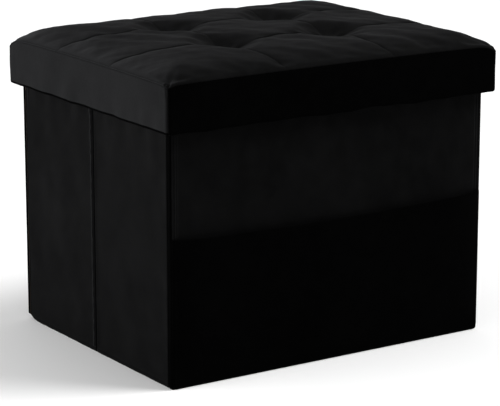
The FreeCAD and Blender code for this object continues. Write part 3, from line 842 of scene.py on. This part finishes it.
def cover(name, node, body, kind, lo, hi, seed, r_side=(2.0, 2.0), r_edge=2.0, corner=5.0,
          puckers=(), amp=0.35, seams=(), lips=()):
    """A velvet tray over one board: outer face with soft unevenness, rounded edges, turned in at the back."""
    if kind in ("front", "back"):
        hu, depth = (hi[0] - lo[0]) / 2, hi[1] - lo[1]
        cu = (hi[0] + lo[0]) / 2 * (1 if kind == "front" else -1)
        face = -lo[1] if kind == "front" else hi[1]
    else:
        hu, depth = (hi[1] - lo[1]) / 2, hi[0] - lo[0]
        cu = (hi[1] + lo[1]) / 2 * (-1 if kind == "left" else 1)
        face = -lo[0] if kind == "left" else hi[0]
    hv, cv = (hi[2] - lo[2]) / 2, (hi[2] + lo[2]) / 2
    r = r_edge
    fine = [-hu + r, hu - r] + [s[0] - cu for s in seams]
    gu = spaced(-(hu - r), hu - r, 4.0, fine, 1.0, 5.0)
    gv = spaced(-(hv - r), hv - r, 4.5, [-(hv - r), hv - r], 1.6, 6.0)

    def height(U, V, U0, V0):
        d = np.minimum(hu - r - np.abs(U0), hv - r - np.abs(V0))
        inside = smooth(0.0, 9.0, d)
        q = np.stack([U + cu, V + cv], -1)
        w = amp * waves(q, 95.0, seed) * inside
        w += 0.4 * amp * waves(q, 34.0, seed + 1) * inside
        for side, wl, size, reach in puckers:
            if side == "top":
                e, along = (hv - 40.0) - V0 , U
                e = np.maximum(e, 0)
            elif side == "right":
                e, along = hu - r - U0, V
            elif side == "left":
                e, along = U0 + hu - r, V
            else:
                e, along = V0 + hv - r, U
            ir = waves(along[..., None] * [1.0, 0.0], wl, seed + 5 + len(side), n=7, spread=0.7)
            w += size * ir * np.exp(-e / reach) * smooth(-0.5, 2.0, d)
        for at, width, deep in seams:
            e = U + cu - at
            tick = 1 + 0.35 * waves(V[..., None] * [1.0, 0.0], 6.5, seed + 11, n=5, spread=0.3)
            w -= deep * np.exp(-((e / width) ** 2)) * tick
            w += 0.3 * deep * np.exp(-(((e - 2.4 * width) / (1.3 * width)) ** 2))
        w = np.where(w > 0, 1.1 * np.tanh(w / 1.1), w)
        for at, width, high in lips:
            e = U + cu - at
            w += high * np.exp(-((e / width) ** 2)) * (1 + 0.2 * waves(V[..., None] * [1.0, 0.0], 11.0, seed + 13, n=6))
        return np.where(w < 0, -0.75 * np.tanh(-w / 0.75), w)

    rows = []
    for a in (22.5, 45, 67.5, 90):
        t = math.radians(a)
        rows.append((r * math.sin(t), r * (1 - math.cos(t))))
    rows.append((r, depth * 0.72))
    rows.append((r, depth - 0.35))
    rows.append((r - 0.35, depth - 0.02))
    P, F, rim = cap_points(gu, gv, max(corner + 4, 6.0), max(corner - r, 0.6), height, rows,
                           tilt=lambda base, d: -d + 0 * base[:, 2])
    P, F = shell(P, F, rim, 0.55)
    P[:, 0] += cu
    P[:, 1] += cv
    P[:, 2] += face
    ob = new_mesh(name, place(kind)(P), F, M_FRONT_SHADED if kind == "front" else M_BODY)
    fix_normals(ob)
    if kind in ("front", "back"):            # painted shade on the corner seams, turned in and stitched
        ob.data.materials.append(M_SEAM_SHADE)
        ob.data.materials.append(M_FOLD_HIGHLIGHT)         # painted highlight on two fine raised folds beside each front corner
        for f in ob.data.polygons:
            if abs(f.center.x) > (XO - 1.6) * MM:
                f.material_index = 1
            elif kind == "front" and f.center.z > POCK_HI[2] * MM and any(
                    a < XO - abs(f.center.x) / MM < b for a, b in ((4.9, 6.5), (8.4, 9.6))):
                f.material_index = 2
    elif node.endswith("rear_cover"):        # painted highlight on the raised edge along the fold: a copy of the velvet with more sheen
        ob.data.materials.append(M_LIP_HIGHLIGHT)
        for f in ob.data.polygons:
            if f.center.y < (MID + 3.6) * MM and abs(f.center.x) > (XO - 1.0) * MM:
                f.material_index = 1
    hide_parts(node)
    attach(ob, body)
    if kind in ("left", "right"):            # each half gets its own copy of its mesh data
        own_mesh(ob)
    return ob


cover("front_velvet", "front_cover", "front_wall", "front", FRONT_LO, FRONT_HI, 101, r_edge=1.4, corner=2.0,
      puckers=(("left", 14, 0.25, 7),), amp=0.3,
      seams=((-XO + 4.2, 0.7, 0.7), (-XO + 7.6, 0.6, 0.4), (XO - 4.2, 0.7, 0.7), (XO - 7.6, 0.6, 0.4)))
cover("back_velvet", "back_cover", "back_wall", "back", BACK_LO, BACK_HI, 131, r_edge=1.4, corner=2.0,
      seams=((-XO + 4.2, 0.7, 0.7), (XO - 4.2, 0.7, 0.7)), amp=0.35)
for side, kind in (("left", "left"), ("right", "right")):
    for end in ("front", "rear"):
        node = "%s_%s_cover" % (side, end)
        lo, hi = node_box(node)
        # the fold is on the side of the panel nearer the middle
        fold_at = {("left", "front"): "left", ("left", "rear"): "right",
                   ("right", "front"): "right", ("right", "rear"): "left"}[(side, end)]
        cover("%s_%s_velvet" % (side, end), node, "%s_%s_panel" % (side, end), kind, lo, hi,
              160 + 17 * (side == "right") + 7 * (end == "rear"), r_edge=1.5, corner=2.0,
              puckers=(("top", 24, 0.75, 13), (fold_at, 11, 0.3, 5)), amp=0.24,
              lips=(((3.6 if side + end in ("rightrear", "leftfront") else -3.6), 1.7, 1.5 if end == "rear" else 0.4),))


# ------------------------------------------------------------------ pocket
def pocket_mesh():
    hw = -POCK_LO[0] + 3.4
    top, z0 = POCK_HI[2], 0.7
    face = YO + 0.25
    us = spaced(-hw, hw, 3.5, (-hw, hw), 0.8, 7.0)
    ts = np.concatenate([np.linspace(0, 0.9, 44), np.linspace(0.9, 1, 9)[1:]])
    U, T = np.meshgrid(us, ts, indexing="ij")
    e = hw - np.abs(U)
    sag = 4.2 * (1 - (np.abs(U) / hw) ** 2.2)
    Z = z0 + (top - sag - z0) * T
    open_ = 0.1 + 5.2 * smooth(0, 0.24, T) + 1.6 * T
    bow = open_ * (1 - np.exp(-((e / 17.0) ** 1.1)))
    q = np.stack([U, Z], -1)
    bow += 0.35 * waves(q, 80.0, 301) * smooth(0, 20, e) * smooth(0, 0.2, T)
    # pulls that run from the top corners down towards the middle
    pull = np.exp(-((Z - (top - 18 - e * 0.55)) / 10.0) ** 2) * np.exp(-e / 45.0)
    bow += 0.8 * pull * smooth(0, 6, e)
    # the doubled hem along the mouth
    hem = smooth(top - sag - 11.5, top - sag - 10.6, Z)
    bow += 0.45 * hem * smooth(0, 5, e)
    bow -= 0.5 * np.exp(-((Z - (top - sag - 11.2)) / 0.7) ** 2) * smooth(0, 5, e)
    # end seams
    bow += 0.55 * np.exp(-((e - 2.2) / 1.4) ** 2)
    Y = -(face + bow)
    drop = np.maximum(6.5 - Z, 0)
    U = U * (hw - 6.5 + np.sqrt(np.maximum(6.5 ** 2 - drop ** 2, 0))) / hw
    outer = np.stack([U, Y - 0.75, Z], -1)
    inner = np.stack([U, Y + 0.35, Z], -1)
    # roll the mouth's edge
    outer[:, -1, 1] += 0.35
    inner[:, -1, 1] -= 0.3
    nu, nv = U.shape
    n = nu * nv
    P = np.concatenate([outer.reshape(-1, 3), inner.reshape(-1, 3)])
    idx = lambda i, j: i * nv + j
    F = []
    for i in range(nu - 1):
        for j in range(nv - 1):
            a, b, c, d = idx(i, j), idx(i + 1, j), idx(i + 1, j + 1), idx(i, j + 1)
            F += [(a, b, c, d), (a + n, d + n, c + n, b + n)]
    loop = [idx(i, j) for i, j in loop_of(nu, nv)]
    m = len(loop)
    F += [(loop[k], loop[k] + n, loop[(k + 1) % m] + n, loop[(k + 1) % m]) for k in range(m)]
    return P, F


P, F = pocket_mesh()
pocket = fix_normals(new_mesh("pocket", P, F, M_POCKET_SHADED))
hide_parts("pocket_panel")
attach(pocket, "front_wall")


# ------------------------------------------------------------------ fabric strips across the corner and fold gaps
def strip(name, pts, z0, z1, thick, material, seed, pucker=0.25):
    """An upright ribbon of fabric along the plan line pts, from z0 to z1."""
    pts = np.array(pts, float)
    tan = np.gradient(pts, axis=0)
    nrm = np.stack([tan[:, 1], -tan[:, 0]], -1)
    nrm /= np.linalg.norm(nrm, axis=1)[:, None] + 1e-12
    zs = np.linspace(z0, z1, int((z1 - z0) / 3.0))
    n, m = len(pts), len(zs)
    mid = np.exp(-((np.arange(n) - (n - 1) / 2) / (n / 3.5)) ** 2)
    ripple = pucker * waves(zs[:, None] * [1.0, 0.0], 9.0, seed, n=6, spread=0.4)
    out = []
    for off in (0.0, -thick):
        P = np.zeros((n, m, 3))
        P[..., 0] = pts[:, None, 0] + nrm[:, None, 0] * (off + mid[:, None] * ripple[None])
        P[..., 1] = pts[:, None, 1] + nrm[:, None, 1] * (off + mid[:, None] * ripple[None])
        P[..., 2] = zs[None]
        out.append(P.reshape(-1, 3))
    k = n * m
    idx = lambda i, j: i * m + j
    F = []
    for i in range(n - 1):
        for j in range(m - 1):
            a, b, c, d = idx(i, j), idx(i + 1, j), idx(i + 1, j + 1), idx(i, j + 1)
            F += [(a, b, c, d), (a + k, d + k, c + k, b + k)]
    loop = [idx(i, j) for i, j in loop_of(n, m)]
    q = len(loop)
    F += [(loop[t], loop[t] + k, loop[(t + 1) % q] + k, loop[(t + 1) % q]) for t in range(q)]
    return fix_normals(new_mesh(name, np.concatenate(out), F, material))




ZA, ZB = SIDE_Z0 + 0.3, WALL_TOP - 0.4


def corner_line(sx, sy, x, span=1.0):
    """Plan points across a corner gap, bulging in by a hair, for the corner at signs sx, sy."""
    ys = np.linspace(GAP0 + 0.35, GAP1 - 0.35, 9)
    dip = 0.25 * np.sin(np.linspace(0, math.pi, 9))
    line = [(sx * (x - k), sy * y) for y, k in zip(ys, dip)]
    return line if sx * sy > 0 else line[::-1]


# In each gap the outer strip takes the near-black velvet: painted shade.
for sx, side in ((-1, "left"), (1, "right")):
    # outer and inner fabric at the front corner
    for tag, x, mat in (("outer", XO - 0.9, M_SEAM_SHADE), ("inner", XO - 6.0 - 0.15, M_LINING)):
        ob = strip("%s_front_corner_%s" % (side, tag), corner_line(sx, -1, x), ZA, ZB, 0.4, mat, 400 + sx,
                   0.15 if tag == "outer" else 0.0)
        if tag == "outer":
            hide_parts("front_corner_seams")
        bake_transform(ob)
    # middle fold
    ys = np.linspace(-MID - 0.25, MID + 0.25, 9)
    dip = 0.3 * np.sin(np.linspace(0, math.pi, 9))
    for tag, x, mat in (("outer", XO - 0.7, M_SEAM_SHADE), ("inner", XO - 6.0 - 0.15, M_LINING)):
        line = [(sx * (x - k), y) for y, k in zip(ys, dip)]
        if sx > 0:
            line = line[::-1]
        ob = strip("%s_fold_%s" % (side, tag), line, ZA, ZB, 0.4, mat, 420 + sx, 0.22 if tag == "outer" else 0.0)
        if tag == "outer":
            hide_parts("%s_fold_seam" % side)
        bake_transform(ob)
    # rear corner: sewn through on the left; the open pivot is on the right
    for tag, x, mat in (("outer", XO - 0.9, M_SEAM_SHADE), ("inner", XO - 6.0 - 0.15, M_LINING)):
        ob = strip("%s_rear_corner_%s" % (side, tag), corner_line(sx, 1, x), ZA, ZB, 0.4, mat, 440 + sx,
                   0.15 if tag == "outer" else 0.0)
        if tag == "outer":
            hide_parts("back_corner_seams")
        if side == "left":
            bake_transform(ob)
        else:
            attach(ob, "back_wall")


# ------------------------------------------------------------------ linings
def lining(name, node, body, kind, seed, depth=None, thick=0.3, r=0.35, full=0.12):
    """A non-woven lining glued over a board: nearly flat, its edges turned in. kind is the way it faces."""
    lo, hi = node_box(node)
    if kind in ("front", "back"):
        hu, hv, d = (hi[0] - lo[0]) / 2, (hi[2] - lo[2]) / 2, hi[1] - lo[1]
        cu, cv = (hi[0] + lo[0]) / 2 * (1 if kind == "front" else -1), (hi[2] + lo[2]) / 2
        face, put = (-lo[1] if kind == "front" else hi[1]), place(kind)
    elif kind in ("left", "right"):
        hu, hv, d = (hi[1] - lo[1]) / 2, (hi[2] - lo[2]) / 2, hi[0] - lo[0]
        cu, cv = (hi[1] + lo[1]) / 2 * (-1 if kind == "left" else 1), (hi[2] + lo[2]) / 2
        face, put = (-lo[0] if kind == "left" else hi[0]), place(kind)
    else:
        hu, hv, d = (hi[0] - lo[0]) / 2, (hi[1] - lo[1]) / 2, hi[2] - lo[2]
        s = 1 if kind == "up" else -1
        cu, cv = (hi[0] + lo[0]) / 2, (hi[1] + lo[1]) / 2 * s
        face = hi[2] if kind == "up" else -lo[2]
        put = lambda p: np.stack([p[:, 0], s * p[:, 1], s * p[:, 2]], -1)
    d = d if depth is None else depth
    gu = spaced(-(hu - r), hu - r, 7.0, [-(hu - r), hu - r], 1.6, 5.0)
    gv = spaced(-(hv - r), hv - r, 7.0, [-(hv - r), hv - r], 1.6, 5.0)

    def height(U, V, U0, V0):
        e = np.minimum(hu - r - np.abs(U0), hv - r - np.abs(V0))
        q = np.stack([U + cu, V + cv], -1)
        w = waves(q, 60.0, seed) + 0.6 * waves(q, 19.0, seed + 1)
        return 0.5 * full * (1 + np.tanh(w)) * smooth(0.0, 8.0, e)

    rows = [(r * math.sin(math.radians(a)), r * (1 - math.cos(math.radians(a)))) for a in (30, 60, 90)]
    rows += [(r, d * 0.6), (r, d - 0.04)]
    P, F, rim = cap_points(gu, gv, max(r + 1.5, 2.0), 0.5, height, rows, tilt=lambda base, q: -q + 0 * base[:, 2])
    P, F = shell(P, F, rim, thick)
    P[:, 0] += cu
    P[:, 1] += cv
    P[:, 2] += face
    ob = fix_normals(new_mesh(name, put(P), F, M_LINING))
    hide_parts(node)
    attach(ob, body)
    return ob


lining("front_inside", "front_lining", "front_wall", "back", 301)
lining("back_inside", "back_lining", "back_wall", "front", 303)
for side, way in (("left", "right"), ("right", "left")):
    for end in ("front", "rear"):
        lining("%s_%s_inside" % (side, end), "%s_%s_lining" % (side, end), "%s_%s_panel" % (side, end), way,
               310 + 7 * (side == "right") + 3 * (end == "rear"))
base_top = lining("base_top", "base_lining", "base", "up", 331, r=0.2, thick=0.2)
lining("base_under", "base_cover", "base", "down", 333, r=1.0, full=0.0)
lining("lid_inside", "lid_lining", "lid", "up", 335, r=1.5, full=0.0)


def hinge_strip():
    """The fabric strip along the foot of the front wall that the base board swings up on."""
    lo, hi = node_box("base_hinge_strip")
    xs = np.linspace(lo[0], hi[0], 127)
    t = np.linspace(0, 1, 17)
    rest = 0.28 + 0.65 * (1 - smooth(0.0, 0.2, t))
    n, m = len(xs), len(t)
    rip = 0.06 * waves(xs[:, None] * [1.0, 0.0], 21.0, 341, n=7)
    out = []
    for off in (0.12, -0.12):
        P = np.zeros((n, m, 3))
        P[..., 0] = xs[:, None]
        P[..., 1] = (lo[1] + (hi[1] - lo[1]) * t)[None]
        P[..., 2] = rest[None] + off + rip[:, None] * np.sin(math.pi * t)[None]
        out.append(P.reshape(-1, 3))
    k = n * m
    idx = lambda i, j: i * m + j
    F = []
    for i in range(n - 1):
        for j in range(m - 1):
            a, b, c, d = idx(i, j), idx(i + 1, j), idx(i + 1, j + 1), idx(i, j + 1)
            F += [(a, b, c, d), (a + k, d + k, c + k, b + k)]
    loop = [idx(i, j) for i, j in loop_of(n, m)]
    q = len(loop)
    F += [(loop[e], loop[e] + k, loop[(e + 1) % q] + k, loop[(e + 1) % q]) for e in range(q)]
    ob = fix_normals(new_mesh("base_hinge_fabric", np.concatenate(out), F, M_LINING))
    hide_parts("base_hinge_strip")
    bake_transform(ob)
    return ob


hinge_strip()


def pull_tab():
    """The flat ribbon at the back edge of the base board, stitched down at its rear end."""
    lo, hi = node_box("pull_ribbon")
    xs, ys = np.linspace(lo[0], hi[0], 13), np.linspace(lo[1], hi[1], 41)
    X, Y = np.meshgrid(xs, ys, indexing="ij")
    side = 0.10 * np.exp(-(((np.abs(X) - hi[0] + 0.8) / 0.7) ** 2))          # woven edges
    stitch = 0.14 * (np.exp(-(((Y - hi[1] + 4.0) / 0.6) ** 2)) + np.exp(-(((Y - hi[1] + 9.0) / 0.6) ** 2)))
    top = hi[2] - 0.16 + side - stitch + 0.03 * waves(np.stack([X, Y], -1), 17.0, 351)
    n, m = X.shape
    P = np.concatenate([np.stack([X, Y, top], -1).reshape(-1, 3),
                        np.stack([X, Y, top * 0 + lo[2] + 0.13], -1).reshape(-1, 3)])
    k = n * m
    idx = lambda i, j: i * m + j
    F = []
    for i in range(n - 1):
        for j in range(m - 1):
            a, b, c, d = idx(i, j), idx(i + 1, j), idx(i + 1, j + 1), idx(i, j + 1)
            F += [(a, b, c, d), (a + k, d + k, c + k, b + k)]
    loop = [idx(i, j) for i, j in loop_of(n, m)]
    q = len(loop)
    F += [(loop[e], loop[e] + k, loop[(e + 1) % q] + k, loop[(e + 1) % q]) for e in range(q)]
    ob = fix_normals(new_mesh("pull_tab", P, F, M_RIBBON))
    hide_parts("pull_ribbon")
    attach(ob, "base")
    return ob


pull_tab()


# ------------------------------------------------------------------ soft hems under the folding walls
def hem(name, body, a, b, seed, rounded):
    """A soft strip of velvet from a wall's lower edge to the floor, along the plan line a to b."""
    a, b = np.array(a, float), np.array(b, float)
    n = max(int(np.linalg.norm(b - a) / 2.0), 8)
    t = np.linspace(0, 1, n)
    pts = a + (b - a) * t[:, None]
    d = (b - a) / np.linalg.norm(b - a)
    nrm = np.array([d[1], -d[0]])
    sec = [(-0.05, SIDE_Z0 + 0.5), (0.0, SIDE_Z0 - 0.6), (0.0, 2.2), (-0.15, 1.1), (-0.6, 0.45), (-1.3, 0.3),
           (-1.9, 0.6), (-2.1, 1.4), (-2.0, SIDE_Z0 + 0.5)]
    m = len(sec)
    rip = 0.18 * waves(t[:, None] * [np.linalg.norm(b - a), 0.0], 26.0, seed)
    P = np.zeros((n, m, 3))
    for j, (o, z) in enumerate(sec):
        lower = np.clip(1 - (z - 0.3) / (SIDE_Z0 + 0.2), 0, 1)
        P[:, j, 0] = pts[:, 0] + nrm[0] * (o + rip * lower)
        P[:, j, 1] = pts[:, 1] + nrm[1] * (o + rip * lower)
        lift = np.zeros(n)
        dist = t * np.linalg.norm(b - a)
        for on, away in zip(rounded, (dist, dist[-1] - dist)):
            if on:
                q = np.clip(1 - (away + 1.5) / 15.0, 0, 1)
                lift = np.maximum(lift, 9.0 * (1 - np.sqrt(1 - q * q)))
        P[:, j, 2] = z + np.minimum(lift, SIDE_Z0 - 0.8) * lower
    F = []
    for i in range(n - 1):
        for j in range(m):
            k = (j + 1) % m
            F.append((i * m + j, (i + 1) * m + j, (i + 1) * m + k, i * m + k))
    F.append(tuple(range(m)))
    F.append(tuple(reversed([(n - 1) * m + j for j in range(m)])))
    ob = fix_normals(new_mesh(name, P.reshape(-1, 3), F, M_BODY))
    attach(ob, body)
    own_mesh(ob)
    return ob


E = 0.4
hem("left_front_hem", "left_front_panel", (-XO + E, -MID - 0.2), (-XO + E, -GAP1 + 0.2), 501, (False, False))
hem("left_rear_hem", "left_rear_panel", (-XO + E, GAP1 - 0.2), (-XO + E, MID + 0.2), 503, (True, False))
hem("right_front_hem", "right_front_panel", (XO - E, -GAP1 + 0.2), (XO - E, -MID - 0.2), 505, (True, False))
hem("right_rear_hem", "right_rear_panel", (XO - E, MID + 0.2), (XO - E, GAP1 - 0.2), 507, (False, True))
hem("back_hem", "back_wall", (XO - 4.0, YO - E), (-XO + 4.0, YO - E), 509, (True, True))


# ------------------------------------------------------------------ floor, light and camera
def floor():
    me = bpy.data.meshes.new("floor")
    s = 30.0
    me.from_pydata([(-s, -s, 0), (s, -s, 0), (s, s, 0), (-s, s, 0)], [], [(0, 1, 2, 3)])
    ob = bpy.data.objects.new("floor", me)
    bpy.context.scene.collection.objects.link(ob)
    mat, nt, bsdf, co = node_material("floor_paint")
    n = noise_node(nt, co, 3.0, 2.0, 0.5)
    col = ramp(nt, n.outputs["Fac"], [(0.3, (0.86, 0.86, 0.86)), (0.7, (0.88, 0.88, 0.88))])
    nt.links.new(col.outputs["Color"], bsdf.inputs["Base Color"])
    bsdf.inputs["Roughness"].default_value = 0.9
    bsdf.inputs["Specular IOR Level"].default_value = 0.1
    me.materials.append(mat)


floor()

world = bpy.data.worlds.new("studio")
bpy.context.scene.world = world
world.use_nodes = True
nt = world.node_tree
nt.nodes.clear()
wo = nt.nodes.new("ShaderNodeOutputWorld")
mixw = nt.nodes.new("ShaderNodeMixShader")
lp = nt.nodes.new("ShaderNodeLightPath")
bg_light = nt.nodes.new("ShaderNodeBackground")
bg_cam = nt.nodes.new("ShaderNodeBackground")
bg_light.inputs["Color"].default_value = (1, 1, 1, 1)
bg_light.inputs["Strength"].default_value = 0.62
bg_cam.inputs["Color"].default_value = (1, 1, 1, 1)
bg_cam.inputs["Strength"].default_value = 1.0
nt.links.new(lp.outputs["Is Camera Ray"], mixw.inputs["Fac"])
nt.links.new(bg_light.outputs["Background"], mixw.inputs[1])
nt.links.new(bg_cam.outputs["Background"], mixw.inputs[2])
nt.links.new(mixw.outputs["Shader"], wo.inputs["Surface"])


def area(name, loc, target, size, power, size_y=None):
    li = bpy.data.lights.new(name, "AREA")
    li.shape = "RECTANGLE"
    li.size, li.size_y = size, size_y or size
    li.energy = power
    ob = bpy.data.objects.new(name, li)
    bpy.context.scene.collection.objects.link(ob)
    ob.location = loc
    ob.rotation_mode = "QUATERNION"
    ob.rotation_quaternion = (Vector(target) - Vector(loc)).to_track_quat("-Z", "Y")
    return ob


def sun(name, direction, strength, angle):
    li = bpy.data.lights.new(name, "SUN")
    li.energy = strength
    li.angle = math.radians(angle)
    ob = bpy.data.objects.new(name, li)
    bpy.context.scene.collection.objects.link(ob)
    ob.rotation_mode = "QUATERNION"
    ob.rotation_quaternion = Vector(direction).to_track_quat("-Z", "Y")
    return ob


sun("key_sun", (-0.80, 0.41, -0.95), 2.9, 34)
area("side_fill", (-1.55, 0.45, 0.62), (-0.2, 0, 0.24), 1.0, 14.5)

cam_data = bpy.data.cameras.new("camera")
cam_data.lens = 169.3
cam_data.sensor_width = 36.0
cam = bpy.data.objects.new("camera", cam_data)
bpy.context.scene.collection.objects.link(cam)
az, el, dist = math.radians(-33.38), math.radians(13.918), 2.6169
target = Vector((-0.0466, -0.0698, 0.1646))
back = Vector((math.sin(az) * math.cos(el), -math.cos(az) * math.cos(el), math.sin(el)))
cam.location = target + back * dist
cam.rotation_mode = "QUATERNION"
cam.rotation_quaternion = (-back).to_track_quat("-Z", "Y")
cam_data.clip_start, cam_data.clip_end = 0.05, 80.0
bpy.context.scene.camera = cam

bpy.context.scene.view_settings.view_transform = "Standard"
bpy.context.scene.view_settings.look = "None"
